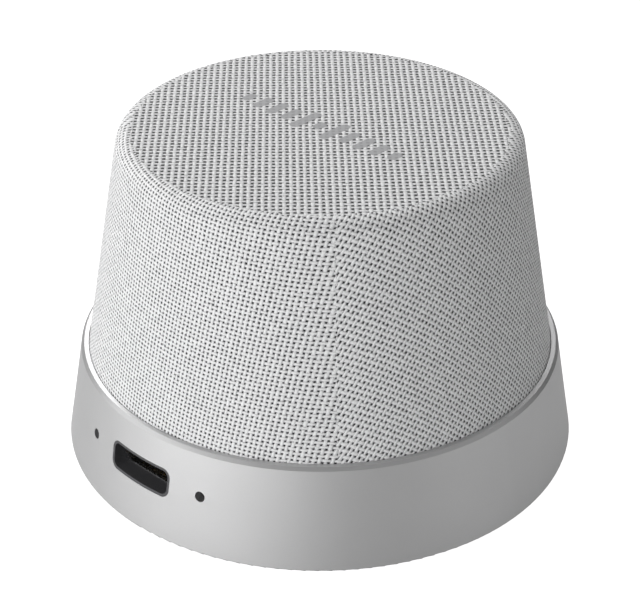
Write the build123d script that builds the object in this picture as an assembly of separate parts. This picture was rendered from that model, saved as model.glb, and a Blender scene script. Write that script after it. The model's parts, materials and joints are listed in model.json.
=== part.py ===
"""A palm-sized wireless speaker: a cloth-covered cone on an aluminium base ring.

Frame: the origin is the centre of the foot's underside and +Z is up. The charging port
faces -Y and the three keys face +Y. Lengths are millimetres and angles are degrees.
Each section below builds the pieces of one sub-assembly, from the floor up.
"""

import os
from math import pi, radians, sin, sqrt, tan

from build123d import *

# ---------------------------------------------------------------- driving dimensions
# Outside
base_diameter = 60.0  # across the ring's foot
overall_height = 38.7  # floor to the top of the cloth
lean = tan(radians(10.0))  # how fast the ring and the cloth cone narrow as they rise

# Base ring
foot_proud = 0.4  # the foot stands this far below the ring
ring_height = 12.1
ring_wall = 1.3
ring_chamfer = 0.35
ring_land = 0.5  # flat on top of the ring, inside the chamfer
ring_edge_round = 0.2
rebate_depth = 1.3  # the ring's mouth is wider down to here, and hides the cloth's hem

# Cloth cover
cloth_thick = 0.6
cloth_gap = 0.1  # cloth to the ring's mouth, and hem to its floor
crown_round = 1.8
hem_width = 2.2  # cloth turned in under the housing's rim
glue_line = 0.03

# Housing and grille
housing_wall = 1.5
grille_thick = 0.6
grille_inset = 1.1  # the driver's rim to the grille's
grille_hole_radius = 0.9
grille_pitch = 2.7
grille_rim = 2.3  # no holes this close to the grille's edge
grille_seat_width = 1.0
ledge_thick = 1.2
ledge_width = 1.3

# Foot, magnets and tray
foot_thick = 1.2
foot_gap = 0.5
magnet_outer_radius = 27.0
magnet_inner_radius = 22.6
magnet_thick = 1.7
magnet_count = 18
magnet_spacing = 0.5
shunt_thick = 0.4
pocket_play = 0.1
tray_floor = 0.8
tray_wall = 1.2
tray_play = 0.15
tray_wall_top_gap = 0.6  # tray wall to the ring's rebate floor
well_radius = 21.6
well_floor = 1.4

# Posts and screws
post_x, post_y = 18.2, 8.8  # base screws
post_radius = 2.3
screw_radius = 1.0
screw_play = 0.15
screw_grip = 0.02  # threads are plain shanks in close holes
head_radius = 1.8
head_height = 1.3
lug_bite = 4.0
frame_screw_radius = 21.2  # middle frame screws, on this circle
frame_boss_radius = 2.2
frame_boss_height = 5.0
frame_screw_bite = 4.4
small_screw_radius = 0.7  # board and driver screws
small_head_radius = 1.3
small_head_height = 0.8

# Main board
board_thick = 1.0
board_gap = 0.6  # board edge to tray wall
board_post_radius = 2.0
board_posts = [(-11.0, -12.5), (11.0, -12.5), (0.0, 12.5)]
board_rear_y = 18.9
component_height = 4.9  # room above the board, under the battery
joint_gap = 0.1  # tray posts to the middle frame's lugs

# Charging port
port_height = 6.85  # centre above the ring's foot
port_cut = (9.2, 3.45, 1.05)  # width, height and corner radius of the hole in the ring
bezel_wall = 0.28
bezel_flange = (11.4, 5.2, 1.4)
fit_play = 0.03
port_setback = 1.8  # outer face of the ring to the receptacle's mouth
socket_size = (8.94, 3.26)
socket_wall = 0.3
socket_length = 7.35
socket_play = 0.05
leg_size = (0.3, 0.9)  # solder legs, thick and long
leg_inset = 1.6  # legs to the socket's ends
leg_play = 0.15
tongue_size = (6.7, 0.7)
tongue_setback = 0.8
tongue_root = 1.8
contact_count = 12
contact_pitch = 0.5
contact_size = (0.25, 3.2, 0.06)
board_tab_setback = 0.2  # board tab to the back of the bezel

# Pinholes beside the port
pinhole_radius = 0.6
pinhole_angle = 17.1  # either side of the port's axis
pipe_body_radius = 1.1
light_height = 0.45
mic_size = (1.85, 2.75, 0.95)
mic_boot_wall = 0.4
mic_nozzle_radius = 1.2
mic_bore_radius = 0.4

# Keys
key_spacing = 8.5
key_size = (6.2, 2.6)
key_play = 0.15
key_proud = 0.25
key_travel = 0.3
key_flange = (7.4, 4.0, 0.8)
key_flange_play = 0.05
key_stem_radius = 1.0
mark_depth = 0.12
mark_width = 0.32
mark_length = 1.5
key_board_thick = 0.8
key_board_gap = 0.5  # main board's rear edge to the key board
key_board_height = 5.8
key_board_width = 26.0
switch_size = (3.6, 1.6, 3.2)
plunger_radius = 0.8
plunger_length = 1.2
plunger_proud = 0.7
plunger_play = 0.04

# Battery
battery_size = (30.0, 30.0, 5.6)
tape_thick = 0.4
guard_size = (1.2, 9.0, 3.4)  # protection circuit

# Middle frame
frame_thick = 1.4
frame_play = 0.15
chamber_seal_thick = 0.5
lead_angle = 67.0  # terminals, grommet and speaker plug are all at this bearing
lead_radius = 17.8
grommet_radius = 2.9
grommet_bore = (3.4, 1.4)

# Driver
driver_play = 0.7  # driver flange to the housing's wall
flange_thick = 0.7
driver_drop = 1.47  # underside of the grille to the gasket
gasket_thick = 0.5
gasket_width = 2.0
surround_play = 0.1  # surround to the gasket's bore
surround_land = 1.1
roll_radius = 1.2
rubber_thick = 0.3
cone_rim_width = 1.0
cone_depth = 4.1
paper_thick = 0.35
coil_radius = 7.02  # outside of the former
former_wall = 0.12
coil_build = 0.28
coil_length = 3.8
former_length = 7.1
air_gap = 0.3  # each side of the coil
pole_thick = 1.4
magnet_height = 4.2
yoke_wall = 1.6
yoke_floor = 1.5
motor_drop = 7.9  # flange top to the top of the yoke
spider_drop = 5.9  # flange top to the spider's landing
spider_outer_radius = 12.4
spider_thick = 0.3
spider_wave = 0.45
basket_sheet = 0.7
basket_window = (9.0, 4.0)
driver_screw_inset = 1.1
driver_screw_angle = 22.0
driver_screw_bite = 1.5
cone_travel = 0.8

FLOOR = (Align.CENTER, Align.CENTER, Align.MIN)


# ---------------------------------------------------------------- shared helpers
def cylinder(radius, low, high):
    return Pos(0, 0, low) * Cylinder(radius, high - low, align=FLOOR)


def frustum(low_radius, high_radius, low, high):
    return Pos(0, 0, low) * Cone(low_radius, high_radius, high - low, align=FLOOR)


def band(outer, inner, low, high):
    return cylinder(outer, low, high) - cylinder(inner, low, high)


def block(x, y, z):
    """A box from three (low, high) pairs."""
    sizes = [high - low for low, high in (x, y, z)]
    middle = [(low + high) / 2 for low, high in (x, y, z)]
    return Pos(*middle) * Box(*sizes)


def spread(middle, size, play=0.0):
    """The (low, high) pair of a size about its middle, with play added at both ends."""
    return middle - size / 2 - play, middle + size / 2 + play


def turned(*points):
    """A solid of revolution about Z from (radius, height) points."""
    return revolve(Plane.XZ * make_face(Polyline(*points, close=True)), Axis.Z)


def bearing(angle, radius=0.0):
    """A place at this bearing from -Y, towards +X, with its own -Y axis pointing out."""
    return Rot(0, 0, angle) * Pos(0, -radius, 0)


def along_y(sketch, near, far):
    """A sketch drawn as seen from the front, pushed from y = near to y = far."""
    return extrude(Plane(origin=(0, near, 0), x_dir=(1, 0, 0), z_dir=(0, 1, 0)) * sketch, far - near)


def pin_y(radius, near, far, x=0.0, z=0.0):
    return along_y(Pos(x, -z) * Circle(radius), near, far)


def slot_y(size, near, far, x, z, radius=None):
    """A rounded bar along Y. With no radius its ends are half round."""
    width, height = size
    corner = min(radius or 0.499 * height, 0.499 * height)
    return along_y(Pos(x, -z) * RectangleRounded(width, height, corner), near, far)


def wire(points, radius, bend):
    path = FilletPolyline(*points, radius=bend)
    start = Plane(origin=path @ 0, z_dir=path % 0)
    return sweep(start * Circle(radius), path)


def screw(head, head_tall, shank, length, slot=0.5):
    """A cross-headed screw, head on top of z = 0 and shank going down."""
    body = cylinder(head, 0, head_tall) + cylinder(shank, -length, 0)
    body = fillet(body.edges().filter_by(GeomType.CIRCLE).group_by(Axis.Z)[-1], 0.4 * head_tall)
    arm = 0.62 * head
    deep = (head_tall - 0.55 * head_tall, head_tall + 1)
    cross = block((-arm, arm), (-slot / 2, slot / 2), deep)
    cross += block((-slot / 2, slot / 2), (-arm, arm), deep)
    return body - cross


def save(name, *solids):
    whole = solids[0] if len(solids) == 1 else Compound(children=list(solids))
    export_step(whole, f"parts/{name}.step")


# ---------------------------------------------------------------- derived places
base_radius = base_diameter / 2
ring_low = foot_proud
ring_top = ring_low + ring_height
rebate_floor = ring_top - rebate_depth
port_z = ring_low + port_height


def ring_radius(z):
    return base_radius - (z - ring_low) * lean


def ring_inside(z):
    return ring_radius(z) - ring_wall


mouth_edge = ring_radius(ring_top - ring_chamfer) - ring_chamfer - ring_land
hem_low = rebate_floor + cloth_gap


def mouth_radius(z):
    return mouth_edge - (z - ring_top) * lean


def cloth_radius(z):
    return mouth_radius(z) - cloth_gap


def ring_cone(offset, low=ring_low - 1, high=ring_top + 1):
    """The ring's outer cone as a full solid, grown by offset."""
    return frustum(ring_radius(low) + offset, ring_radius(high) + offset, low, high)


housing_inset = cloth_thick + glue_line
housing_low = hem_low + cloth_thick + glue_line
housing_top = overall_height - housing_inset


def housing_inside(z):
    return cloth_radius(z) - housing_inset - housing_wall


def tray_outside(z):
    return ring_inside(z) - tray_play


tray_low = foot_thick
pocket_depth = magnet_thick + shunt_thick + pocket_play
tray_deck = tray_low + pocket_depth + tray_floor
well_z = tray_low + well_floor
tray_top = rebate_floor - tray_wall_top_gap

socket_low = port_z - socket_size[1] / 2
board_top = socket_low - socket_play / 2
board_low = board_top - board_thick
board_radius = tray_outside(board_top) - tray_wall - board_gap
battery_low = board_top + component_height
battery_top = battery_low + battery_size[2]
frame_low = battery_top + tape_thick
frame_top = frame_low + frame_thick
ledge_low = frame_top + chamber_seal_thick
split_z = battery_low + 0.5  # where tray posts and frame lugs meet

outer_y = -ring_radius(port_z)
socket_mouth = outer_y + port_setback
socket_back = socket_mouth + socket_length
bezel_back = outer_y + ring_wall + bezel_flange[2]
socket_seat = (socket_size[0] + 2 * socket_play, socket_size[1] + 2 * socket_play)

key_board_y = board_rear_y + key_board_gap
switch_y = key_board_y + key_board_thick
plunger_tip = switch_y + switch_size[1] + plunger_proud
key_xs = (-key_spacing, 0.0, key_spacing)
key_names = ("volume_down", "power", "volume_up")

grille_low = housing_top - grille_thick
lip_low = grille_low - driver_drop
driver_radius = housing_inside(lip_low) - driver_play
driver_screw_circle = driver_radius - driver_screw_inset
surround_outer_radius = driver_radius - gasket_width - surround_play
roll_centre_radius = surround_outer_radius - surround_land - roll_radius
grille_radius = driver_radius - grille_inset
grille_open_radius = grille_radius - grille_rim
gasket_low = lip_low - gasket_thick
flange_top = gasket_low
flange_low = flange_top - flange_thick
yoke_top = flange_top - motor_drop
spider_z = flange_top - spider_drop
pole_radius = coil_radius - former_wall - air_gap
yoke_bore = coil_radius + coil_build + air_gap
yoke_radius = yoke_bore + yoke_wall
magnet_top = yoke_top - pole_thick
magnet_low = magnet_top - magnet_height
yoke_low = magnet_low - yoke_floor
coil_middle = yoke_top - pole_thick / 2
lead_place = Rot(0, 0, lead_angle)  # its +X points out at the leads' bearing


# ---------------------------------------------------------------- base ring
def base_ring():
    low, top = ring_low, ring_top
    shoulder = top - ring_chamfer
    ring = turned(
        (ring_radius(low), low),
        (ring_radius(shoulder), shoulder),
        (ring_radius(shoulder) - ring_chamfer, top),
        (mouth_radius(top), top),
        (mouth_radius(rebate_floor), rebate_floor),
        (ring_inside(rebate_floor), rebate_floor),
        (ring_inside(low), low),
    )
    outer_edge = ring.edges().filter_by(GeomType.CIRCLE).group_by(Axis.Z)[0].sort_by(SortBy.RADIUS)[-1]
    ring = fillet(outer_edge, ring_edge_round)
    ring -= slot_y(port_cut[:2], -base_radius - 1, 0, 0, port_z, port_cut[2])
    for side in (-1, 1):
        hole = pin_y(pinhole_radius, -base_radius - 1, 0, 0, port_z)
        ring -= Rot(0, 0, side * pinhole_angle) * hole
    opening = (key_size[0] + 2 * key_play, key_size[1] + 2 * key_play)
    for x in key_xs:
        ring -= slot_y(opening, 0, base_radius + 1, x, port_z)
    return ring


# ---------------------------------------------------------------- foot, magnets and tray
def foot_pad():
    radius = ring_inside(ring_low) - foot_gap
    pad = cylinder(radius, 0, foot_thick)
    rims = pad.edges().filter_by(GeomType.CIRCLE).group_by(Axis.Z)[0]
    return chamfer(rims, foot_proud / 2)


def magnet_segments():
    """Flat blocks of a ring, each one sector wide less the spacing."""
    full = band(magnet_outer_radius, magnet_inner_radius, tray_low, tray_low + magnet_thick)
    step = 360 / magnet_count
    gap = block((0, base_radius), (-magnet_spacing / 2, magnet_spacing / 2), (0, tray_deck))
    for k in range(magnet_count):
        full -= Rot(0, 0, (k + 0.5) * step) * gap
    return full.solids()


def shunt_ring():
    low = tray_low + magnet_thick
    return band(magnet_outer_radius, magnet_inner_radius, low, low + shunt_thick)


def post_places():
    return [Pos(x * post_x, y * post_y, 0) for x in (-1, 1) for y in (-1, 1)]


def base_tray():
    low, top = tray_low, tray_top
    tray = frustum(tray_outside(low), tray_outside(top), low, top)
    tray -= frustum(
        tray_outside(tray_deck) - tray_wall, tray_outside(top) - tray_wall, tray_deck, top
    )
    tray -= cylinder(well_radius, well_z, tray_deck)
    tray -= band(
        magnet_outer_radius + pocket_play, magnet_inner_radius - pocket_play, low, low + pocket_depth
    )
    recess = low + head_height + pocket_play
    for place in post_places():
        tray += place * cylinder(post_radius, well_z, split_z - joint_gap)
    for place in post_places():
        tray -= place * cylinder(screw_radius + screw_play, low, split_z)
        tray -= place * cylinder(head_radius + screw_play, low, recess)
    for x, y in board_posts:
        tray += Pos(x, y, 0) * cylinder(board_post_radius, well_z, board_low)
    for x, y in board_posts:
        tray -= Pos(x, y, 0) * cylinder(small_screw_radius + screw_grip, well_z, board_low)
    port_room = base_radius * sin(radians(pinhole_angle)) + mic_nozzle_radius + 0.4
    tray -= block((-port_room, port_room), (-base_radius, -well_radius), (tray_deck, top + 1))
    key_room = key_spacing + key_flange[0] / 2 + 0.5
    tray -= block((-key_room, key_room), (switch_y, base_radius), (tray_deck, top + 1))
    return tray + key_board_guides()


def key_board_guides():
    """Two grooved posts on the tray that hold the key board's ends."""
    guides = None
    half = key_board_width / 2
    for side in (-1, 1):
        reach = sorted((side * (half - 0.8), side * (half + 1.0)))
        post = block(reach, (key_board_y - 0.4, switch_y + 1.0), (tray_deck - 0.2, tray_top - 0.6))
        groove = sorted((side * (half - 2.0), side * (half + screw_play)))
        post -= block(groove, (key_board_y, switch_y), (0, tray_top))
        guides = post if guides is None else guides + post
    return guides


def base_screws():
    length = lug_bite + (split_z - joint_gap) - (tray_low + head_height + pocket_play)
    seat = tray_low + head_height + pocket_play
    one = Pos(0, 0, seat) * Rot(180, 0, 0) * screw(head_radius, head_height, screw_radius, length)
    return [(place * one).solid() for place in post_places()]


# ---------------------------------------------------------------- main board
def main_board():
    board = cylinder(board_radius, board_low, board_top)
    board -= block((-base_radius, base_radius), (board_rear_y, base_radius), (0, board_top + 1))
    front = (bezel_back + board_tab_setback, -board_radius + 2)
    board += block((-5.4, 5.4), front, (board_low, board_top))
    for place in post_places():
        board -= place * cylinder(post_radius + 0.4, board_low - 1, board_top + 1)
    for x, y in board_posts:
        board -= Pos(x, y, 0) * cylinder(small_screw_radius + screw_play, board_low - 1, board_top + 1)
    for x, y in socket_leg_spots():
        board -= block(spread(x, leg_size[0], leg_play), spread(y, leg_size[1], leg_play), (0, board_top + 1))
    return board


def on_board(x, y, width, depth, tall, edge=0.12):
    """A part standing on the board, with softened upper edges."""
    body = block(spread(x, width), spread(y, depth), (board_top, board_top + tall))
    return chamfer(body.edges().group_by(Axis.Z)[-1], edge)


def board_screws():
    one = screw(small_head_radius, small_head_height, small_screw_radius, board_top - well_z - 0.6)
    return [(Pos(x, y, board_top) * one).solid() for x, y in board_posts]


def shield_can():
    can = on_board(0, 0.5, 11.5, 9.5, 1.7, 0.25)
    hollow = block((-5.55, 5.55), (-4.05, 5.05), (board_top, board_top + 1.5))
    return can - hollow


def chips():
    return [
        on_board(-10.5, 2.0, 4.0, 4.0, 0.9),  # charger
        on_board(10.8, 1.0, 5.0, 5.0, 0.9),  # amplifier
        on_board(-3.0, -9.0, 5.0, 4.0, 0.8),  # memory
        on_board(4.5, -10.0, 3.0, 3.0, 0.8),  # port protection
        on_board(0.0, 0.5, 6.8, 6.8, 0.9),  # radio processor, under the shield
    ]


def inductors():
    parts = []
    for x, y in ((-9.5, -4.5), (10.5, -5.0), (15.2, -3.2)):
        parts.append(on_board(x, y, 3.2, 3.2, 2.0, 0.3))
    return parts


def capacitors():
    spots = [(6.0 + 2.2 * k, 8.4) for k in range(4)] + [(-12.6 + 2.2 * k, 8.4) for k in range(4)]
    spots += [(-7.6, -9.5), (-7.6, -11.2), (8.2, -8.2), (1.2, -8.6)]
    return [on_board(x, y, 1.6, 0.9, 0.8, 0.1) for x, y in spots]


def chip_antenna():
    return Rot(0, 0, -48) * on_board(board_radius - 2.2, 0, 2.0, 7.0, 1.2)


def plug_housing():
    """A two-way plug in its header, mouth up, centred on the board."""
    return on_board(0, 0, 3.4, 5.2, 3.0, 0.2)


def speaker_plug():
    return lead_place * Pos(lead_radius, 0, 0) * plug_housing()


def battery_plug():
    return Pos(-battery_size[0] / 2 - guard_size[0] - 1.6, 0, 0) * plug_housing()


def status_light():
    return bearing(-pinhole_angle, board_radius - 1.6) * on_board(0, 0, 1.6, 0.8, light_height, 0.05)


def light_pipe():
    """A smoked pin that fills the left pinhole and turns down over the light."""
    tip = pin_y(pinhole_radius - fit_play, -base_radius, -board_radius, 0, port_z)
    tip &= Rot(0, 0, pinhole_angle) * ring_cone(-0.05)
    inner = ring_inside(port_z + pipe_body_radius) - fit_play
    body = pin_y(pipe_body_radius, -inner + 0.05, -board_radius + 2.2, 0, port_z)
    down = Pos(0, -board_radius + 1.6, 0) * cylinder(0.7, board_top + light_height + 0.05, port_z)
    return Rot(0, 0, -pinhole_angle) * (tip + body + down)


def microphone():
    wide, deep, tall = mic_size
    capsule = on_board(0, 0, wide, deep, tall, 0.08)
    return bearing(pinhole_angle, board_radius - 2.2) * capsule


def microphone_boot():
    """A rubber boot that seals the microphone to the right pinhole."""
    wide, deep, tall = mic_size
    inner = ring_inside(port_z + mic_nozzle_radius) - fit_play
    y0 = -board_radius + 2.2
    boot_top = port_z + mic_nozzle_radius
    boot = block(spread(0, wide, mic_boot_wall), spread(y0, deep, mic_boot_wall), (board_top, boot_top))
    boot += pin_y(mic_nozzle_radius, -inner + 0.2, y0, 0, port_z)
    boot -= block(spread(0, wide, fit_play), spread(y0, deep, fit_play), (board_top, board_top + tall))
    boot -= pin_y(mic_bore_radius, -inner, y0, 0, port_z)
    boot -= Pos(0, y0, 0) * cylinder(mic_bore_radius, board_top, port_z)
    return Rot(0, 0, pinhole_angle) * boot


def microphone_mesh():
    inner = ring_inside(port_z + mic_nozzle_radius) - fit_play
    disc = pin_y(mic_nozzle_radius - 0.2, -inner, -inner + 0.15, 0, port_z)
    return Rot(0, 0, pinhole_angle) * disc


# ---------------------------------------------------------------- charging port
def port_bezel():
    """A dark liner in the ring's port hole, with a flange behind the ring's wall."""
    width, height, corner = port_cut
    neck = slot_y((width - 2 * fit_play, height - 2 * fit_play), -base_radius, bezel_back, 0, port_z, corner)
    neck &= ring_cone(-0.02)
    flange = slot_y(bezel_flange[:2], -base_radius, bezel_back, 0, port_z, corner + 0.6)
    flange &= ring_cone(-ring_wall - fit_play)
    inside = 2 * (fit_play + bezel_wall)
    mouth = slot_y((width - inside, height - inside), -base_radius, 0, 0, port_z, corner - bezel_wall)
    seat = slot_y(socket_seat, socket_mouth, 0, 0, port_z)
    return neck + flange - mouth - seat


def socket_leg_spots():
    x = (socket_size[0] - leg_size[0]) / 2
    rows = (socket_mouth + leg_inset + 1.0, socket_back - leg_inset)
    return [(side * x, y) for side in (-1, 1) for y in rows]


def socket_shell():
    """The stainless shell of the charging receptacle, with four legs into the board."""
    width, height = socket_size
    wall = 2 * socket_wall
    shell = slot_y(socket_size, socket_mouth, socket_back, 0, port_z)
    for x, y in socket_leg_spots():
        shell += block(spread(x, leg_size[0]), spread(y, leg_size[1]), (board_low - 0.2, port_z))
    return shell - slot_y((width - wall, height - wall), socket_mouth - 1, socket_back + 1, 0, port_z)


def socket_tongue():
    """The insulator: a block in the back of the shell and the tongue that carries the contacts."""
    width, height = socket_size
    fit = 2 * (socket_wall + 0.01)
    root = slot_y((width - fit, height - fit), socket_back - tongue_root, socket_back, 0, port_z)
    tongue = slot_y(tongue_size, socket_mouth + tongue_setback, socket_back - tongue_root, 0, port_z)
    return root + tongue


def socket_contacts():
    wide, long, tall = contact_size
    start = socket_mouth + tongue_setback + 0.3
    pads = []
    for side in (-1, 1):
        z = port_z + side * tongue_size[1] / 2
        for k in range(contact_count):
            x = (k - (contact_count - 1) / 2) * contact_pitch
            low, high = sorted((z, z + side * tall))
            pads.append(block((x - wide / 2, x + wide / 2), (start, start + long), (low, high)))
    return pads


# ---------------------------------------------------------------- keys
def key_mark(kind, x):
    """The sign cut into a key's face, drawn flat and pushed out along +Y."""
    bar = Rectangle(mark_length, mark_width)
    if kind == "volume_up":
        sign = bar + Rectangle(mark_width, mark_length)
    elif kind == "volume_down":
        sign = bar
    else:
        sign = Circle(mark_length / 2) - Circle(mark_length / 2 - mark_width)
    prism = along_y(Pos(x, -port_z) * sign, 0, base_radius + 1)
    return prism - ring_cone(key_proud - mark_depth)


def key(kind, x):
    cap = slot_y(key_size, plunger_tip, base_radius + 1, x, port_z) & ring_cone(key_proud)
    flange = slot_y(key_flange[:2], plunger_tip, base_radius, x, port_z)
    flange &= ring_cone(-ring_wall - key_flange_play)
    reach = sqrt(ring_inside(port_z) ** 2 - x**2)
    back = reach - key_flange[2] - 0.9
    keep = block((-base_radius, base_radius), (back, base_radius), (0, ring_top))
    body = (cap & keep) + (flange & keep)
    body += pin_y(key_stem_radius, plunger_tip, back + 0.5, x, port_z)
    plunger_room = pin_y(plunger_radius + 1, 0, plunger_tip, x, port_z)
    return body - plunger_room - key_mark(kind, x)


def key_plunger(x):
    return pin_y(plunger_radius, plunger_tip - plunger_length, plunger_tip, x, port_z)


def key_board():
    half = key_board_width / 2
    low = tray_deck + 0.1
    return block((-half, half), (key_board_y, switch_y), (low, low + key_board_height))


def switch_bodies():
    wide, deep, tall = switch_size
    bodies = []
    for x in key_xs:
        body = block(spread(x, wide), (switch_y, switch_y + deep), spread(port_z, tall))
        room = plunger_length - plunger_proud + key_travel + 0.1
        body -= pin_y(plunger_radius + plunger_play, switch_y + deep - room, switch_y + deep + 1, x, port_z)
        bodies.append(body)
    return bodies


def key_header():
    """The right-angle header that joins the key board to the main board."""
    return block((-4.2, 4.2), (key_board_y - 2.4, key_board_y), (board_top, board_top + 1.8))


# ---------------------------------------------------------------- battery and middle frame
def battery_cell():
    wide, deep, tall = battery_size
    cell = Pos(0, 0, battery_low) * Box(wide, deep, tall, align=FLOOR)
    return fillet(cell.edges().filter_by(Axis.Y), 1.2)


def battery_tape():
    wide, deep, _ = battery_size
    return Pos(0, 0, battery_top) * Box(wide - 6, deep - 6, tape_thick, align=FLOOR)


def battery_guard():
    """The protection circuit on the cell's tab end."""
    thick, wide, tall = guard_size
    edge = -battery_size[0] / 2
    middle = battery_low + battery_size[2] / 2
    return block((edge - thick, edge), (-wide / 2, wide / 2), (middle - tall / 2, middle + tall / 2))


def battery_leads():
    edge = -battery_size[0] / 2 - guard_size[0]
    plug_x = edge - 1.6
    start = battery_low + battery_size[2] / 2
    leads = []
    for y in (-1.1, 1.1):
        points = [
            (edge, y, start),
            (edge - 1.5, y, start),
            (plug_x - 0.9, y, start - 2.2),
            (plug_x, y, board_top + 4.6),
            (plug_x, y, board_top + 3.0),
        ]
        leads.append(wire(points, 0.42, 0.9))
    return leads


def frame_screw_places():
    return [Rot(0, 0, 90 * k) * Pos(frame_screw_radius, 0, 0) for k in range(4)]


def middle_frame():
    """The deck between the air chamber and the electronics, with lugs for the base screws."""
    radius = housing_inside(frame_top) - frame_play
    frame = cylinder(radius, frame_low, frame_top)
    for place in post_places():
        frame += place * cylinder(post_radius, split_z, frame_low)
    for place in post_places():
        frame -= place * cylinder(screw_radius + screw_grip, split_z, split_z + lug_bite + 0.6)
    for place in frame_screw_places():
        frame -= place * cylinder(screw_radius + screw_play, frame_low - 1, frame_top + 1)
    lead_hole = cylinder(grommet_radius - 0.7, frame_low - 1, frame_top + 1)
    frame -= lead_place * Pos(lead_radius, 0, 0) * lead_hole
    rib = 1.0
    wide, deep, _ = battery_size
    for side in (-1, 1):
        near = deep / 2 + 0.15
        y = sorted((side * near, side * (near + rib)))
        frame += block((-8.0, 4.0), y, (frame_low - 3.0, frame_low))
    return frame


def frame_screws():
    length = frame_screw_bite + frame_thick + chamber_seal_thick
    one = Rot(180, 0, 0) * screw(head_radius, head_height, screw_radius, length)
    return [(place * Pos(0, 0, frame_low) * one).solid() for place in frame_screw_places()]


def chamber_seal():
    outer = housing_inside(ledge_low) - frame_play
    seal = band(outer, outer - ledge_width, frame_top, ledge_low)
    for place in frame_screw_places():
        seal -= place * cylinder(screw_radius + screw_play, frame_top - 1, ledge_low + 1)
    return seal


def lead_grommet():
    """A rubber bush round the speaker leads where they pass the deck."""
    body = cylinder(grommet_radius, frame_top, frame_top + 0.8)
    body += cylinder(grommet_radius - 0.75, frame_low - 0.3, frame_top + 0.4)
    slot = Pos(0, 0, frame_low - 1) * extrude(Rot(0, 0, 90) * SlotOverall(*grommet_bore), frame_thick + 3)
    return lead_place * Pos(lead_radius, 0, 0) * (body - slot)


# ---------------------------------------------------------------- housing, grille and cloth
def crown(inset, low):
    """The cloth cone as a full solid from a height up, shrunk by inset, with its rounded crown."""
    top = overall_height - inset
    body = frustum(cloth_radius(low) - inset, cloth_radius(overall_height) - inset, low, top)
    rim = body.edges().filter_by(GeomType.CIRCLE).group_by(Axis.Z)[-1]
    return fillet(rim, crown_round - inset)


def cloth_cover():
    cover = crown(0, hem_low) - crown(cloth_thick, hem_low + cloth_thick)
    inner = cloth_radius(hem_low) - cloth_thick - hem_width
    return cover - cylinder(inner, hem_low - 1, hem_low + cloth_thick)


def cone_housing():
    low = housing_low
    body = crown(housing_inset, low)
    body -= frustum(housing_inside(low), housing_inside(lip_low), low, lip_low)
    body -= cylinder(grille_radius - grille_seat_width, lip_low, grille_low)
    body -= cylinder(grille_radius + fit_play, grille_low, housing_top)
    ledge_top = ledge_low + ledge_thick
    root = 0.5  # the ledge and bosses run this far into the wall
    ledge = frustum(housing_inside(ledge_low) + root, housing_inside(ledge_top) + root, ledge_low, ledge_top)
    body += ledge - cylinder(housing_inside(ledge_low) - ledge_width, ledge_low, ledge_top)
    boss_top = ledge_low + frame_boss_height
    room = frustum(housing_inside(ledge_low) + root, housing_inside(boss_top) + root, ledge_low, boss_top)
    for place in frame_screw_places():
        boss = cylinder(frame_boss_radius, ledge_low, boss_top)
        boss += block((0, base_radius), (-frame_boss_radius, frame_boss_radius), (ledge_low, boss_top))
        body += (place * boss) & room
    for place in frame_screw_places():
        body -= place * cylinder(screw_radius + screw_grip, ledge_low, boss_top - 0.4)
    for place in driver_screw_places():
        body -= place * cylinder(small_screw_radius + screw_grip, lip_low, lip_low + driver_screw_bite)
    return body


def grille_plate():
    """A perforated steel disc: holes in a close hexagonal pattern."""
    plate = cylinder(grille_radius, grille_low, housing_top)
    row_step = grille_pitch * sin(pi / 3)
    rows = int(grille_open_radius / row_step)
    spots = []
    for row in range(-rows, rows + 1):
        y = row * row_step
        shift = grille_pitch / 2 if row % 2 else 0
        for k in range(-rows - 2, rows + 3):
            x = k * grille_pitch + shift
            if sqrt(x * x + y * y) + grille_hole_radius <= grille_open_radius:
                spots.append((x, y))
    holes = Sketch() + [Pos(x, y) * Circle(grille_hole_radius) for x, y in spots]
    return plate - Pos(0, 0, grille_low) * extrude(holes, grille_thick)


# ---------------------------------------------------------------- driver
def driver_screw_places():
    return [Rot(0, 0, driver_screw_angle + 90 * k) * Pos(driver_screw_circle, 0, 0) for k in range(4)]


def driver_gasket():
    ring = band(driver_radius, driver_radius - gasket_width, gasket_low, lip_low)
    for place in driver_screw_places():
        ring -= place * cylinder(small_screw_radius + screw_play, gasket_low - 1, lip_low + 1)
    return ring


def driver_basket():
    """A pressed steel frame: flange, slanted wall with four windows, spider step and motor seat."""
    sheet = basket_sheet
    mouth = surround_outer_radius - 0.9
    step_outer = spider_outer_radius + 2.0
    step_inner = spider_outer_radius - 0.2
    basket = turned(
        (driver_radius, flange_top),
        (driver_radius, flange_low),
        (mouth + 0.4, flange_low),
        (step_outer + sheet * 0.7, spider_z - sheet),
        (step_inner + sheet, spider_z - sheet),
        (step_inner + sheet, yoke_top),
        (yoke_bore, yoke_top),
        (yoke_bore, yoke_top + sheet),
        (step_inner, yoke_top + sheet),
        (step_inner, spider_z),
        (step_outer, spider_z),
        (mouth, flange_top),
    )
    width, tall = basket_window
    low = spider_z + 0.7
    for k in range(4):
        window = block((step_outer - 2, driver_radius), (-width / 2, width / 2), (low, low + tall))
        basket -= Rot(0, 0, driver_screw_angle + 90 * k) * window
    for place in driver_screw_places():
        basket -= place * cylinder(small_screw_radius + screw_play, flange_low - 1, flange_top + 1)
    return basket


def driver_screws():
    length = flange_thick + gasket_thick + driver_screw_bite - 0.1
    one = Rot(180, 0, 0) * screw(small_head_radius, small_head_height, small_screw_radius, length, 0.35)
    return [(place * Pos(0, 0, flange_low) * one).solid() for place in driver_screw_places()]


def yoke():
    return turned(
        (0, yoke_low),
        (yoke_radius, yoke_low),
        (yoke_radius, yoke_top),
        (yoke_bore, yoke_top),
        (yoke_bore, magnet_low),
        (0, magnet_low),
    )


def driver_magnet():
    return cylinder(pole_radius - 0.3, magnet_low, magnet_top)


def pole_plate():
    return cylinder(pole_radius, magnet_top, yoke_top)


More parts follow.
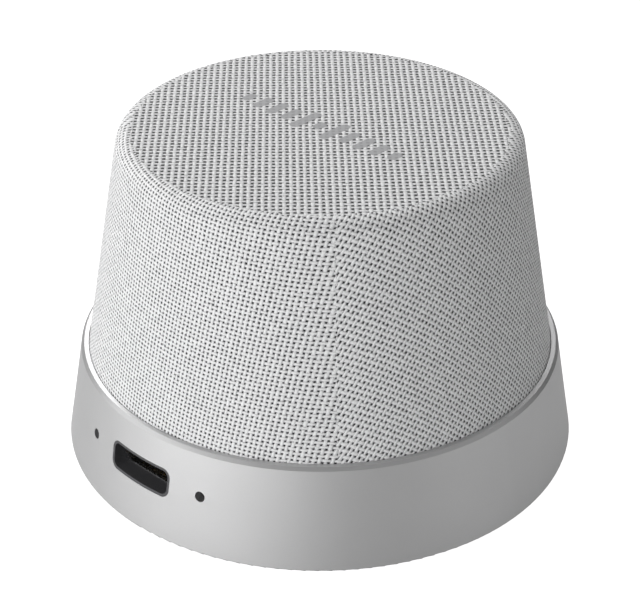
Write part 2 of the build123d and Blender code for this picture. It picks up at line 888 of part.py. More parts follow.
def terminal_board():
    plate = block((surround_outer_radius, driver_radius), (-4.2, 4.2), (flange_low - 0.8, flange_low))
    return lead_place * plate


def terminal_tags():
    tags = []
    for y in (-2.3, 2.3):
        reach = (surround_outer_radius + 0.3, driver_radius + 0.4)
        tag = block(reach, spread(y, 1.6), (flange_low - 1.15, flange_low - 0.8))
        tags.append(lead_place * tag)
    return tags


def speaker_leads():
    top = flange_low - 1.15
    outer = driver_radius - 0.6
    leads = []
    for side in (-1, 1):
        points = [
            (outer, side * 2.3, top),
            (outer, side * 2.3, top - 5.0),
            (lead_radius, side * 0.75, ledge_low + 4.4),
            (lead_radius, side * 0.75, board_top + 3.0),
        ]
        leads.append(lead_place * wire(points, 0.45, 3.0))
    return leads


def surround():
    """A rubber half roll between the cone's rim and the flange."""
    low = flange_top
    inner_lip = roll_centre_radius - roll_radius - cone_rim_width
    roll = Plane.XZ * (
        Pos(roll_centre_radius, low) * Circle(roll_radius)
        - Pos(roll_centre_radius, low) * Circle(roll_radius - rubber_thick)
    )
    above = Pos(roll_centre_radius, low + roll_radius / 2) * Rectangle(4 * roll_radius, roll_radius)
    roll &= Plane.XZ * above
    body = revolve(roll, Axis.Z)
    edge = roll_radius - rubber_thick / 2
    body += band(roll_centre_radius - edge, inner_lip, low, low + rubber_thick)
    body += band(surround_outer_radius, roll_centre_radius + edge, low, low + rubber_thick)
    return body


def spider():
    """The corrugated damper that centres the coil."""
    inner, outer = coil_radius, spider_outer_radius + 1.2
    z, deep, thick = spider_z, spider_wave, spider_thick
    waves = 4
    flat = 1.4
    span = (outer - flat - inner - 0.5) / (2 * waves)
    upper = [(inner, z + thick), (inner + 0.5, z + thick)]
    for k in range(1, 2 * waves):
        upper.append((inner + 0.5 + k * span, z + thick + (deep if k % 2 else 0.0)))
    upper += [(outer - flat, z + thick), (outer, z + thick)]
    lower = [(r, h - thick) for r, h in reversed(upper)]
    return turned(*upper, *lower)


def speaker_cone():
    rim = roll_centre_radius - roll_radius
    top = flange_top
    neck = coil_radius + 0.02
    low = top - cone_depth - paper_thick
    return turned(
        (rim, top),
        (rim - cone_rim_width, top),
        (neck, low + paper_thick),
        (neck, low),
        (neck + 0.25, low),
        (rim - cone_rim_width + 0.2, top - paper_thick),
        (rim, top - paper_thick),
    )


def dust_cap():
    """A shallow dome over the coil, standing on the cone."""
    foot_radius = coil_radius + 0.6
    slope = (cone_depth) / (roll_centre_radius - roll_radius - cone_rim_width - coil_radius - 0.02)
    foot = flange_top - cone_depth + (foot_radius - coil_radius - 0.02) * slope + 0.02
    rise, thick = 2.3, 0.25
    ball = (foot_radius**2 + rise**2) / (2 * rise)
    centre = foot + rise - ball
    dome = Pos(0, 0, centre) * (Sphere(ball) - Sphere(ball - thick))
    return dome & cylinder(foot_radius, foot, foot + rise + 1)


def coil_former():
    low = coil_middle - coil_length / 2 - 0.3
    return band(coil_radius, coil_radius - former_wall, low, low + former_length)


def coil_winding():
    low = coil_middle - coil_length / 2
    return band(coil_radius + coil_build, coil_radius, low, low + coil_length)


# ---------------------------------------------------------------- write every node
def main():
    os.makedirs("parts", exist_ok=True)
    save("base_ring", base_ring())
    save("foot_pad", foot_pad())
    save("magnet_segments", *magnet_segments())
    save("magnet_shunt", shunt_ring())
    save("base_tray", base_tray())
    save("base_screws", *base_screws())

    save("main_board", main_board())
    save("board_screws", *board_screws())
    save("shield_can", shield_can())
    save("board_chips", *chips())
    save("board_inductors", *inductors())
    save("board_capacitors", *capacitors())
    save("chip_antenna", chip_antenna())
    save("speaker_plug", speaker_plug())
    save("battery_plug", battery_plug())
    save("status_light", status_light())
    save("light_pipe", light_pipe())
    save("microphone", microphone())
    save("microphone_boot", microphone_boot())
    save("microphone_mesh", microphone_mesh())

    save("port_bezel", port_bezel())
    save("socket_shell", socket_shell())
    save("socket_tongue", socket_tongue())
    save("socket_contacts", *socket_contacts())

    for name, x in zip(key_names, key_xs):
        save(f"{name}_key", key(name, x))
        save(f"{name}_plunger", key_plunger(x))
    save("key_board", key_board())
    save("switch_bodies", *switch_bodies())
    save("key_header", key_header())

    save("battery_cell", battery_cell())
    save("battery_tape", battery_tape())
    save("battery_guard", battery_guard())
    save("battery_leads", *battery_leads())
    save("middle_frame", middle_frame())
    save("frame_screws", *frame_screws())
    save("chamber_seal", chamber_seal())
    save("lead_grommet", lead_grommet())

    save("cone_housing", cone_housing())
    save("grille_plate", grille_plate())
    save("cloth_cover", cloth_cover())

    save("driver_gasket", driver_gasket())
    save("driver_basket", driver_basket())
    save("driver_screws", *driver_screws())
    save("driver_yoke", yoke())
    save("driver_magnet", driver_magnet())
    save("pole_plate", pole_plate())
    save("terminal_board", terminal_board())
    save("terminal_tags", *terminal_tags())
    save("speaker_leads", *speaker_leads())
    save("surround", surround())
    save("spider", spider())
    save("speaker_cone", speaker_cone())
    save("dust_cap", dust_cap())
    save("coil_former", coil_former())
    save("coil_winding", coil_winding())


main()
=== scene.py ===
import json
from math import atan, cos, pi, radians, sin, sqrt, tan

import bmesh
import bpy
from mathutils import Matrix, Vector


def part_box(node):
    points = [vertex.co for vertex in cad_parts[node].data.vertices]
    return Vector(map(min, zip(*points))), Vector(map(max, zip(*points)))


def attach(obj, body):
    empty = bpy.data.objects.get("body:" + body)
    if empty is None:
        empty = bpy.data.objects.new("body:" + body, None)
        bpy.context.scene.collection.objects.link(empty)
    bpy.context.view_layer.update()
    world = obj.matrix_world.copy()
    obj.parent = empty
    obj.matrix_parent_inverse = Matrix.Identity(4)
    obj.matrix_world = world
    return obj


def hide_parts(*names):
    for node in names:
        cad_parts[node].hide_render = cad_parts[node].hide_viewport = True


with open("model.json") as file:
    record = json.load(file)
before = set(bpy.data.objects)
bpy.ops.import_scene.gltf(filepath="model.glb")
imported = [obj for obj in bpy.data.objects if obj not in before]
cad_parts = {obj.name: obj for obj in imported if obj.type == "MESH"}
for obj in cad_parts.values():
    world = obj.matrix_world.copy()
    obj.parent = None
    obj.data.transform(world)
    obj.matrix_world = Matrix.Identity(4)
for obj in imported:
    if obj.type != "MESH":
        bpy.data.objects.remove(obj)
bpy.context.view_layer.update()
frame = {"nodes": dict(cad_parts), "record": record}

mm = 0.001
print("frame loaded:", len(frame["nodes"]), "nodes")


# small shader tools, each returning an output socket
def newMaterial(name, base, roughness, metallic=0.0):
    material = bpy.data.materials.new(name)
    material.use_nodes = True
    tree = material.node_tree
    shader = tree.nodes["Principled BSDF"]
    shader.inputs["Base Color"].default_value = (*base, 1)
    shader.inputs["Roughness"].default_value = roughness
    shader.inputs["Metallic"].default_value = metallic
    return material, tree, shader


def connect(tree, socket, value):
    # a number sets the socket, another socket is wired to it
    if isinstance(value, bpy.types.NodeSocket):
        tree.links.new(value, socket)
    else:
        socket.default_value = value


def calc(tree, operation, *values):
    made = tree.nodes.new("ShaderNodeMath")
    made.operation = operation
    for socket, value in zip(made.inputs, values):
        connect(tree, socket, value)
    return made.outputs[0]


def between(tree, value, low, high, start=0.0, end=1.0):
    made = tree.nodes.new("ShaderNodeMapRange")
    made.interpolation_type = "SMOOTHSTEP"
    for name, number in (("From Min", low), ("From Max", high), ("To Min", start), ("To Max", end)):
        made.inputs[name].default_value = number
    connect(tree, made.inputs["Value"], value)
    return made.outputs["Result"]


def mixColor(tree, share, first, second):
    made = tree.nodes.new("ShaderNodeMix")
    made.data_type = "RGBA"
    connect(tree, made.inputs[0], share)
    connect(tree, made.inputs[6], first if isinstance(first, bpy.types.NodeSocket) else (*first, 1))
    connect(tree, made.inputs[7], second if isinstance(second, bpy.types.NodeSocket) else (*second, 1))
    return made.outputs[2]


def mixNumber(tree, share, first, second):
    made = tree.nodes.new("ShaderNodeMix")
    for socket, value in zip(made.inputs[:1] + made.inputs[2:4], (share, first, second)):
        connect(tree, socket, value)
    return made.outputs[0]


def objectPoint(tree):
    return tree.nodes.new("ShaderNodeTexCoord").outputs["Object"]


def noise(tree, scale, detail=2.0, stretch=None):
    # scale is in features per mm
    made = tree.nodes.new("ShaderNodeTexNoise")
    made.inputs["Scale"].default_value = scale / mm
    made.inputs["Detail"].default_value = detail
    point = objectPoint(tree)
    if stretch:
        mapping = tree.nodes.new("ShaderNodeMapping")
        mapping.inputs["Scale"].default_value = stretch
        tree.links.new(point, mapping.inputs["Vector"])
        point = mapping.outputs[0]
    tree.links.new(point, made.inputs["Vector"])
    return made.outputs["Fac"]


def addBump(tree, shader, height, depth, strength=1.0):
    # depth is the height's full range, in mm
    bump = tree.nodes.new("ShaderNodeBump")
    bump.inputs["Strength"].default_value = strength
    bump.inputs["Distance"].default_value = depth * mm
    tree.links.new(height, bump.inputs["Height"])
    tree.links.new(bump.outputs[0], shader.inputs["Normal"])


# finishes for the made parts
def grainedFinish(name, look):
    # plastic, rubber, paper, board and bare metal: the colour and roughness drift a little over a fine grain
    material, tree, shader = newMaterial(name, look["color"], look["roughness"], look.get("metal", 0.0))
    drift = noise(tree, look.get("driftScale", 0.25), 3)
    grain = noise(tree, look.get("grainScale", 4.0), 2)
    low = [c * (1 - look.get("drift", 0.08)) for c in look["color"]]
    high = [min(1, c * (1 + look.get("drift", 0.08))) for c in look["color"]]
    tree.links.new(mixColor(tree, drift, low, high), shader.inputs["Base Color"])
    spread = look.get("roughSpread", 0.06)
    rough = between(tree, grain, 0.3, 0.7, look["roughness"] - spread, look["roughness"] + spread)
    tree.links.new(rough, shader.inputs["Roughness"])
    addBump(tree, shader, grain, look.get("grainDepth", 0.01))
    for socket, value in look.get("sockets", {}).items():
        shader.inputs[socket].default_value = value
    return material


finishes = {
    "housing_plastic": {"color": (0.03, 0.03, 0.033), "roughness": 0.55, "grainDepth": 0.02},
    "grille_metal": {"color": (0.02, 0.02, 0.02), "roughness": 0.5, "grainScale": 8.0},
    "basket_metal": {"color": (0.015, 0.015, 0.017), "roughness": 0.4, "grainScale": 6.0},
    "soft_steel": {"color": (0.5, 0.5, 0.5), "roughness": 0.35, "metal": 1.0, "grainScale": 3.0},
    "magnet_plating": {"color": (0.62, 0.61, 0.58), "roughness": 0.18, "metal": 1.0, "grainDepth": 0.004},
    "screw_steel": {"color": (0.12, 0.12, 0.125), "roughness": 0.34, "metal": 1.0, "grainScale": 6.0},
    "foot_rubber": {"color": (0.21, 0.21, 0.215), "roughness": 0.7, "grainScale": 6.0, "grainDepth": 0.015},
    "seal_foam": {"color": (0.018, 0.018, 0.018), "roughness": 0.9, "grainScale": 9.0, "grainDepth": 0.05},
    "surround_rubber": {"color": (0.012, 0.012, 0.012), "roughness": 0.42, "grainDepth": 0.005},
    "cone_paper": {"color": (0.03, 0.03, 0.034), "roughness": 0.75, "grainScale": 5.0, "grainDepth": 0.03},
    "spider_cloth": {"color": (0.5, 0.32, 0.1), "roughness": 0.8, "grainScale": 7.0, "grainDepth": 0.04},
    "former_film": {"color": (0.42, 0.18, 0.03), "roughness": 0.22, "grainDepth": 0.003},
    "copper": {"color": (0.72, 0.28, 0.1), "roughness": 0.3, "metal": 1.0, "grainScale": 6.0},
    "circuit_board": {"color": (0.006, 0.07, 0.03), "roughness": 0.32, "drift": 0.25, "driftScale": 1.2},
    "chip_plastic": {"color": (0.012, 0.012, 0.013), "roughness": 0.45, "grainScale": 9.0},
    "ceramic": {"color": (0.35, 0.24, 0.15), "roughness": 0.4, "drift": 0.15},
    "tin_plate": {"color": (0.66, 0.65, 0.62), "roughness": 0.3, "metal": 1.0},
    "socket_steel": {"color": (0.6, 0.6, 0.6), "roughness": 0.25, "metal": 1.0, "grainDepth": 0.004},
    "socket_plastic": {"color": (0.008, 0.008, 0.009), "roughness": 0.45},
    "gold": {"color": (0.83, 0.6, 0.24), "roughness": 0.25, "metal": 1.0, "grainDepth": 0.003},
    "bezel_plastic": {"color": (0.07, 0.07, 0.075), "roughness": 0.5, "grainScale": 6.0, "grainDepth": 0.008},
    "plug_plastic": {"color": (0.75, 0.73, 0.66), "roughness": 0.45},
    "smoked_plastic": {"color": (0.03, 0.03, 0.032), "roughness": 0.6, "sockets": {"Specular IOR Level": 0.15}},
    "light_resin": {"color": (0.6, 0.6, 0.5), "roughness": 0.3},
    "mesh_steel": {"color": (0.05, 0.05, 0.05), "roughness": 0.45, "grainScale": 9.0, "grainDepth": 0.05},
    "switch_plastic": {"color": (0.015, 0.015, 0.015), "roughness": 0.5},
    "plunger_plastic": {"color": (0.5, 0.46, 0.36), "roughness": 0.5},
    "cell_pouch": {"color": (0.45, 0.45, 0.46), "roughness": 0.38, "metal": 0.8, "grainScale": 2.0},
    "lead_insulation": {"color": (0.4, 0.012, 0.01), "roughness": 0.45},
}

trimMetal = {  # bead-blasted aluminium of the base ring, and the keys painted to match it
    "color": (0.65, 0.65, 0.653),
    "roughness": 0.5,
    "blastScale": 11.0,  # beads per mm
    "blastDepth": 0.006,
    "turnScale": 26.0,  # faint turning lines, per mm of height
    "turnDepth": 0.0015,
}


def blastedMetal(name, look, metallic):
    material, tree, shader = newMaterial(name, look["color"], look["roughness"], metallic)
    blast = noise(tree, look["blastScale"], 2)
    turning = noise(tree, look["turnScale"], 1, (0.01, 0.01, 1.0))
    drift = noise(tree, 0.12, 2)
    shade = mixColor(tree, drift, [c * 0.97 for c in look["color"]], [c * 1.03 for c in look["color"]])
    tree.links.new(shade, shader.inputs["Base Color"])
    rough = between(tree, blast, 0.3, 0.7, look["roughness"] - 0.04, look["roughness"] + 0.04)
    tree.links.new(rough, shader.inputs["Roughness"])
    share = look["turnDepth"] / look["blastDepth"]
    height = calc(tree, "ADD", blast, calc(tree, "MULTIPLY", turning, share))
    addBump(tree, shader, height, look["blastDepth"])
    return material


# the cloth, a plain weave pulled over the housing
clothShape = {  # mm
    "lean": tan(radians(10.0)),
    "crownRound": 1.8,
    "thick": 0.6,
    "hemWidth": 2.2,
    "edgeRound": 0.15,
    "columns": 288,
    "slopeRows": 60,
    "crownRows": 10,
    "topRings": 28,
}
clothGrain = {  # how the threads lie, in counts per mm along x, y and z; warp = (sum + difference) / 2
    "difference": (1.845, 0.0, -2.19),  # the same all round the sides, so the rows run on past each corner
    "frontSum": (2.227, 0.0, 1.841),
    "sideSum": (0.06, 2.823, 0.0),
    "topDifference": (1.941, -0.017, 0.0),
    "topSum": (0.009, 1.951, 0.0),
    "sideShare": 0.916,  # the side grain takes over where |y| is less than this share of |x|
    "topReach": 20.8,  # mm, radius where the top's grain ends
    "wander": 1.0,  # mm, how far the seams between the grains stray
    "crownStretch": 0.65,  # grain height gained for each mm that the crown leans in
    "wanderScale": 0.9,  # features per mm
}
clothYarn = {
    "sideWidths": (0.71, 0.67),  # warp and weft, as shares of their spacing
    "topWidths": (0.62, 0.56),
    "widthSpread": 0.14,
    "stray": 0.09,  # how far a thread wanders sideways, in spacings
    "wave": 0.55,  # how far a thread dips at each crossing, in thread heights
    "relief": 0.14,  # mm
    "widthNoise": (1.7, 2.0),  # patches per mm over which the warp and the weft change width
    "strayNoise": (0.8, 0.95),  # and wander
    "fibreScale": 7.0,  # features per mm
    "fibreShade": 1.1,  # how much the fibres lighten and darken the yarn
    "fibreRelief": 0.25,
    "patchScale": 2.4,
    "patchShade": 0.7,
    "gapShadeRange": (0.1, 0.8),  # thread height over which the dark gap colour fades into the yarn, painting shade down each thread's flanks
    # yarn height, with its fibre and patch noise, over which the yarn goes from its shade colour to its light one
    "shadeRange": (0.15, 0.85),
    "sheen": 0.25,
    # yarn colour where the thread stands high, and the darker colour where it runs low, which is painted shade
    "light": (0.88, 0.88, 0.885),
    "shade": (0.38, 0.38, 0.39),
    "gap": (0.035, 0.035, 0.037),
    "mark": (0.35, 0.35, 0.36),
}
levelMark = {  # a row of rounded level bars printed on the top, along +X
    "pitch": 2.2,  # mm
    "barWidth": 1.25,
    "halfLength": 11.6,
    "tallest": 1.5,
    "shortest": 0.25,
    "strength": 0.88,
    "swellRate": 0.83,  # radians per mm between tall and short bars
    "edge": 0.06,  # mm, softness of the ink's edge
    "depth": 0.3,  # mm below the top that the ink reaches
    "inkHeight": 0.9,  # the ink's surface, in thread heights
}


def dot(tree, point, grain):
    total = calc(tree, "MULTIPLY", point[0], grain[0])
    for axis, share in zip(point[1:], grain[1:]):
        if share:
            total = calc(tree, "MULTIPLY_ADD", axis, share, total)
    return total


def threadCoordinates(tree, x, y, z, slopeFoot):
    # picks the grain for the front and back, the two sides or the top; returns thread counts and the top's share
    absX, absY = calc(tree, "ABSOLUTE", x), calc(tree, "ABSOLUTE", y)
    radius = calc(tree, "SQRT", calc(tree, "MULTIPLY_ADD", x, x, calc(tree, "MULTIPLY", y, y)))
    slope = calc(tree, "MULTIPLY_ADD", z, -clothShape["lean"], slopeFoot)
    leaned = calc(tree, "MAXIMUM", calc(tree, "SUBTRACT", slope, radius), 0.0)
    rise = calc(tree, "MULTIPLY_ADD", leaned, clothGrain["crownStretch"], z)
    unrolled = calc(tree, "MULTIPLY_ADD", rise, -clothShape["lean"], slopeFoot)
    outward = calc(tree, "DIVIDE", unrolled, calc(tree, "MAXIMUM", radius, 1.0))
    sideX, sideY = calc(tree, "MULTIPLY", x, outward), calc(tree, "MULTIPLY", y, outward)
    wander = calc(tree, "MULTIPLY", calc(tree, "SUBTRACT", noise(tree, clothGrain["wanderScale"], 1), 0.5),
                  clothGrain["wander"])
    past = calc(tree, "SUBTRACT", calc(tree, "MULTIPLY", absX, clothGrain["sideShare"]), absY)
    sideways = calc(tree, "GREATER_THAN", past, wander)
    onTop = calc(tree, "LESS_THAN", calc(tree, "ADD", radius, wander), clothGrain["topReach"])
    counts = {name: dot(tree, (sideX, sideY, rise), clothGrain[name])
              for name in ("difference", "frontSum", "sideSum")}
    counts.update({name: dot(tree, (x, y, rise), clothGrain[name])
                   for name in ("topDifference", "topSum")})
    total = mixNumber(tree, sideways, counts["frontSum"], counts["sideSum"])
    total = mixNumber(tree, onTop, total, counts["topSum"])
    difference = mixNumber(tree, onTop, counts["difference"], counts["topDifference"])
    warp = calc(tree, "MULTIPLY", calc(tree, "ADD", total, difference), 0.5)
    weft = calc(tree, "MULTIPLY", calc(tree, "SUBTRACT", total, difference), 0.5)
    return warp, weft, onTop


def weave(tree, u, v, onTop):
    # u counts warp threads and v weft threads; gives the height, 0 to 1, and how covered the spot is: 0 in the
    # gaps, rising over each thread's flanks, where the darkening is painted shade
    def thread(across, along, side, sign, uneven):
        number = calc(tree, "FLOOR", across)
        width = mixNumber(tree, onTop, clothYarn["sideWidths"][side] / 2, clothYarn["topWidths"][side] / 2)
        width = calc(tree, "MULTIPLY", width, uneven)
        offset = calc(tree, "DIVIDE", calc(tree, "SUBTRACT", calc(tree, "FRACT", across), 0.5), width)
        arch = calc(tree, "SUBTRACT", 1.0, calc(tree, "MULTIPLY", offset, offset))
        bulge = calc(tree, "SQRT", calc(tree, "MAXIMUM", arch, 0.0))
        wave = calc(tree, "SINE", calc(tree, "MULTIPLY", calc(tree, "ADD", along, number), pi))
        lift = calc(tree, "MULTIPLY_ADD", wave, sign * clothYarn["wave"], 1.0 + clothYarn["wave"])
        return calc(tree, "MULTIPLY", bulge, lift)

    spread = clothYarn["widthSpread"]
    uneven = [between(tree, noise(tree, scale, 1), 0.25, 0.75, 1 - spread, 1 + spread)
              for scale in clothYarn["widthNoise"]]
    warp = thread(u, v, 0, 1, uneven[0])
    weft = thread(v, u, 1, -1, uneven[1])
    top = calc(tree, "MAXIMUM", warp, weft)
    height = calc(tree, "DIVIDE", top, 1 + 2 * clothYarn["wave"])
    # cover is 0 in the gaps and rises over each thread's flanks; the darkening on the flanks is painted shade
    cover = between(tree, top, *clothYarn["gapShadeRange"])
    return height, cover


def markMask(tree, x, y):
    # 1 inside the rounded bars: the distance to the nearest bar's core line, less half its width
    pitch = levelMark["pitch"]
    bar = calc(tree, "SNAP", calc(tree, "ADD", x, pitch / 2), pitch)
    away = calc(tree, "SUBTRACT", x, bar)
    swell = calc(tree, "ABSOLUTE", calc(tree, "SINE", calc(tree, "MULTIPLY", bar, levelMark["swellRate"])))
    fade = calc(tree, "COSINE", calc(tree, "MULTIPLY", bar, pi / 2 / (levelMark["halfLength"] + 1)))
    tallness = calc(tree, "MULTIPLY", swell, fade)
    half = calc(tree, "MULTIPLY_ADD", tallness, levelMark["tallest"], levelMark["shortest"])
    past = calc(tree, "MAXIMUM", calc(tree, "SUBTRACT", calc(tree, "ABSOLUTE", y), half), 0.0)
    squares = calc(tree, "ADD", calc(tree, "MULTIPLY", away, away), calc(tree, "MULTIPLY", past, past))
    distance = calc(tree, "SQRT", squares)
    halfWidth, edge = levelMark["barWidth"] / 2, levelMark["edge"]
    inBar = between(tree, distance, halfWidth + edge, halfWidth - edge)
    inRow = calc(tree, "LESS_THAN", calc(tree, "ABSOLUTE", x), levelMark["halfLength"])
    return calc(tree, "MULTIPLY", inBar, inRow)


def clothMaterial(topHeight, slopeFoot):
    material, tree, shader = newMaterial("lightGreyWeave", clothYarn["light"], 0.85)
    shader.inputs["Sheen Weight"].default_value = clothYarn["sheen"]
    shader.inputs["Sheen Roughness"].default_value = 0.5
    shader.inputs["Specular IOR Level"].default_value = 0.25
    split = tree.nodes.new("ShaderNodeSeparateXYZ")
    tree.links.new(objectPoint(tree), split.inputs[0])
    x, y, z = [calc(tree, "DIVIDE", split.outputs[i], mm) for i in range(3)]
    u, v, onTop = threadCoordinates(tree, x, y, z, slopeFoot)
    strays = [calc(tree, "MULTIPLY", calc(tree, "SUBTRACT", noise(tree, scale, 1), 0.5), clothYarn["stray"] * 2)
              for scale in clothYarn["strayNoise"]]
    height, cover = weave(tree, calc(tree, "ADD", u, strays[0]), calc(tree, "ADD", v, strays[1]), onTop)
    fibre = calc(tree, "SUBTRACT", noise(tree, clothYarn["fibreScale"], 2), 0.5)
    patch = calc(tree, "SUBTRACT", noise(tree, clothYarn["patchScale"], 2), 0.5)
    # the yarn darkens where its thread runs low, at each dip under a crossing and down its rounded flanks, as
    # painted shade; the fibre and patch noise add random tone
    light = calc(tree, "MULTIPLY_ADD", fibre, clothYarn["fibreShade"], height)
    light = calc(tree, "MULTIPLY_ADD", patch, clothYarn["patchShade"], light)
    yarn = mixColor(tree, between(tree, light, *clothYarn["shadeRange"]), clothYarn["shade"], clothYarn["light"])
    nearTop = calc(tree, "GREATER_THAN", z, topHeight / mm - levelMark["depth"])
    printed = calc(tree, "MULTIPLY", markMask(tree, x, y), nearTop)
    # the gaps show the dark housing behind the cloth; the same dark colour spread over the threads' flanks is
    # painted shade
    bare = mixColor(tree, cover, clothYarn["gap"], yarn)
    ink = calc(tree, "MULTIPLY", printed, levelMark["strength"])  # the ink bridges the gaps between the threads
    tree.links.new(mixColor(tree, ink, bare, clothYarn["mark"]), shader.inputs["Base Color"])
    woven = calc(tree, "MULTIPLY_ADD", fibre, clothYarn["fibreRelief"], height)
    relief = mixNumber(tree, ink, woven, levelMark["inkHeight"])
    addBump(tree, shader, relief, clothYarn["relief"])
    return material


def turnedMesh(name, profile, columns):
    # profile is a closed loop of (radius, height) in metres; a point on the axis becomes one vertex
    shape = bmesh.new()
    rings = []
    for radius, height in profile:
        if radius < 1e-7:
            rings.append([shape.verts.new((0, 0, height))])
            continue
        angles = [2 * pi * k / columns for k in range(columns)]
        rings.append([shape.verts.new((radius * sin(a), -radius * cos(a), height)) for a in angles])
    for ring, nextRing in zip(rings, rings[1:]):
        for k in range(columns):
            after = (k + 1) % columns
            if len(ring) == 1:
                shape.faces.new((ring[0], nextRing[k], nextRing[after]))
            elif len(nextRing) == 1:
                shape.faces.new((ring[k], nextRing[0], ring[after]))
            else:
                shape.faces.new((ring[k], nextRing[k], nextRing[after], ring[after]))
    bmesh.ops.recalc_face_normals(shape, faces=shape.faces)
    mesh = bpy.data.meshes.new(name)
    shape.to_mesh(mesh)
    shape.free()
    mesh.shade_smooth()
    made = bpy.data.objects.new(name, mesh)
    bpy.context.scene.collection.objects.link(made)
    return made


def crownArc(radiusAtTop, top, bend, rows):
    # from the flat top round to the slope; radiusAtTop is where the slope would meet the top
    slope = atan(1 / clothShape["lean"])  # the slope's angle above level
    reach = bend * tan(slope / 2)
    middle = (radiusAtTop - reach, top - bend)
    angles = [slope * k / rows for k in range(rows + 1)]
    return [(middle[0] + bend * sin(a), middle[1] + bend * cos(a)) for a in angles]


def clothCover():
    low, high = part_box("cloth_cover")
    shape = clothShape
    lean, thick, top, bottom = shape["lean"], shape["thick"] * mm, high.z, low.z
    foot = high.x
    round1 = shape["edgeRound"] * mm

    def slopeRadius(z, inset=0.0):
        return foot - (z - bottom) * lean - inset

    outer = crownArc(slopeRadius(top), top, shape["crownRound"] * mm, shape["crownRows"])
    inner = crownArc(slopeRadius(top, thick), top - thick, (shape["crownRound"] * mm - thick), shape["crownRows"])
    flat = outer[0][0]
    profile = [(flat * k / shape["topRings"], top) for k in range(shape["topRings"])] + outer
    start, end = outer[-1], (slopeRadius(bottom + round1), bottom + round1)
    for k in range(1, shape["slopeRows"] + 1):
        share = k / shape["slopeRows"]
        profile.append(tuple(a + (b - a) * share for a, b in zip(start, end)))
    profile += [(foot - round1 * 0.3, bottom + round1 * 0.3), (foot - round1, bottom)]
    hem = foot - thick - shape["hemWidth"] * mm
    profile += [(hem + round1, bottom), (hem, bottom + thick / 2), (hem + round1, bottom + thick)]
    profile.append((slopeRadius(bottom + thick, thick), bottom + thick))
    profile += list(reversed(inner)) + [(0.0, top - thick)]
    cover = turnedMesh("cloth_skin", profile, shape["columns"])
    cover.data.materials.append(clothMaterial(top, (foot + bottom * lean) / mm))
    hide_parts("cloth_cover")
    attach(cover, "housing")


clothCover()
print("cloth made")


def finishParts():
    # every carried-over piece gets the finish of its material slot
    slots = {row["node"]: row["material_slot"] for row in frame["record"]["subparts"]}
    made = {name: grainedFinish(name, look) for name, look in finishes.items()}
    made["trim_metal"] = blastedMetal("trim_metal", trimMetal, 1.0)
    made["key_plastic"] = blastedMetal("key_plastic", trimMetal, 1.0)
    for name, part in frame["nodes"].items():
        if slots[name] in made:
            part.data.materials.clear()
            part.data.materials.append(made[slots[name]])


finishParts()
print("finishes set")


studio = {
    "azimuth": 43.6,  # degrees round from the charging port
    "elevation": 31.2,
    "distance": 207.3,  # mm, lens to target
    "targetHeight": 15.24,
    "lens": 99.7,  # mm on a 36 mm sensor
    "floorColor": 0.3,
    "floorGlow": 0.29,
    "floorLift": 0.74,  # extra glow that only the lens sees, so the floor prints white
    "airLight": 0.01,  # what the room adds from all sides
    "backdrop": 1.0,
}
lamps = {  # bearing and elevation round the camera's own bearing, distance and size in mm, power in watts
    "rearLeftLamp": {"turn": -150, "rise": 38, "away": 480, "size": 200, "power": 0.8},
    "farLeftLamp": {"turn": -95, "rise": 12, "away": 480, "size": 200, "power": 0.3},
    "leftLamp": {"turn": -70, "rise": 12, "away": 480, "size": 200, "power": 0.78},
    "nearLeftLamp": {"turn": -45, "rise": 12, "away": 480, "size": 200, "power": 0.74},
    "frontLamp": {"turn": -20, "rise": 12, "away": 480, "size": 200, "power": 0.37},
    "rightLamp": {"turn": 58, "rise": 12, "away": 480, "size": 200, "power": 0.22},
    "rightEdgeLamp": {"turn": 94, "rise": 38, "away": 480, "size": 340, "power": 0.14},
    "frontEdgeLamp": {"turn": 32, "rise": 57, "away": 480, "size": 340, "power": 0.14},
    "backLamp": {"turn": 180, "rise": 60, "away": 480, "size": 300, "power": 1.0},
}


def bearingVector(turn, rise):
    a, e = radians(turn), radians(rise)
    return Vector((sin(a) * cos(e), -cos(a) * cos(e), sin(e)))


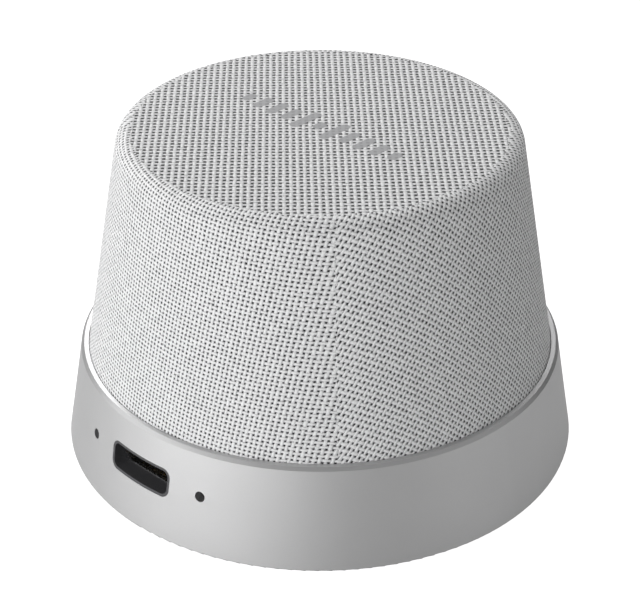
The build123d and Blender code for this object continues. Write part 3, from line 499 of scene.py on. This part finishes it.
def placeCamera(target):
    camera = bpy.data.objects.new("camera", bpy.data.cameras.new("camera"))
    bpy.context.scene.collection.objects.link(camera)
    back = bearingVector(studio["azimuth"], studio["elevation"])
    camera.location = target + back * studio["distance"] * mm
    camera.rotation_euler = (-back).to_track_quat("-Z", "Y").to_euler()
    camera.data.lens = studio["lens"]
    camera.data.sensor_width = 36
    camera.data.clip_start = 0.01
    bpy.context.scene.camera = camera


def hangLamps(target):
    for name, lamp in lamps.items():
        light = bpy.data.lights.new(name, "AREA")
        light.shape = "DISK"
        light.size = lamp["size"] * mm
        light.energy = lamp["power"]
        holder = bpy.data.objects.new(name, light)
        bpy.context.scene.collection.objects.link(holder)
        away = bearingVector(studio["azimuth"] + lamp["turn"], lamp["rise"])
        holder.location = target + away * lamp["away"] * mm
        holder.rotation_euler = (-away).to_track_quat("-Z", "Y").to_euler()


def fillAir():
    # a dim room for the object, with a white backdrop behind it
    world = bpy.data.worlds.new("studioAir")
    world.use_nodes = True
    tree = world.node_tree
    seen = tree.nodes.new("ShaderNodeLightPath").outputs["Is Camera Ray"]
    strength = mixNumber(tree, seen, studio["airLight"], studio["backdrop"])
    tree.nodes["Background"].inputs[0].default_value = (1, 1, 1, 1)
    tree.links.new(strength, tree.nodes["Background"].inputs[1])
    bpy.context.scene.world = world


def layFloor():
    half, drop = 1.5, 0.02 * mm
    mesh = bpy.data.meshes.new("floor")
    corners = [(x, y, -drop) for x, y in ((-half, -half), (half, -half), (half, half), (-half, half))]
    mesh.from_pydata(corners, [], [(0, 1, 2, 3)])
    floor = bpy.data.objects.new("floor", mesh)
    bpy.context.scene.collection.objects.link(floor)
    material, tree, shader = newMaterial("paleFloor", (studio["floorColor"],) * 3, 0.9)
    shader.inputs["Specular IOR Level"].default_value = 0.0
    shader.inputs["Emission Color"].default_value = (1, 1, 1, 1)
    seen = tree.nodes.new("ShaderNodeLightPath").outputs["Is Camera Ray"]
    glow = calc(tree, "MULTIPLY_ADD", seen, studio["floorLift"], studio["floorGlow"])
    tree.links.new(glow, shader.inputs["Emission Strength"])
    floor.data.materials.append(material)


middle = Vector((0, 0, studio["targetHeight"] * mm))
placeCamera(middle)
hangLamps(middle)
fillAir()
layFloor()
bpy.context.scene.view_settings.view_transform = "Standard"
bpy.context.scene.view_settings.look = "None"
print("studio built")
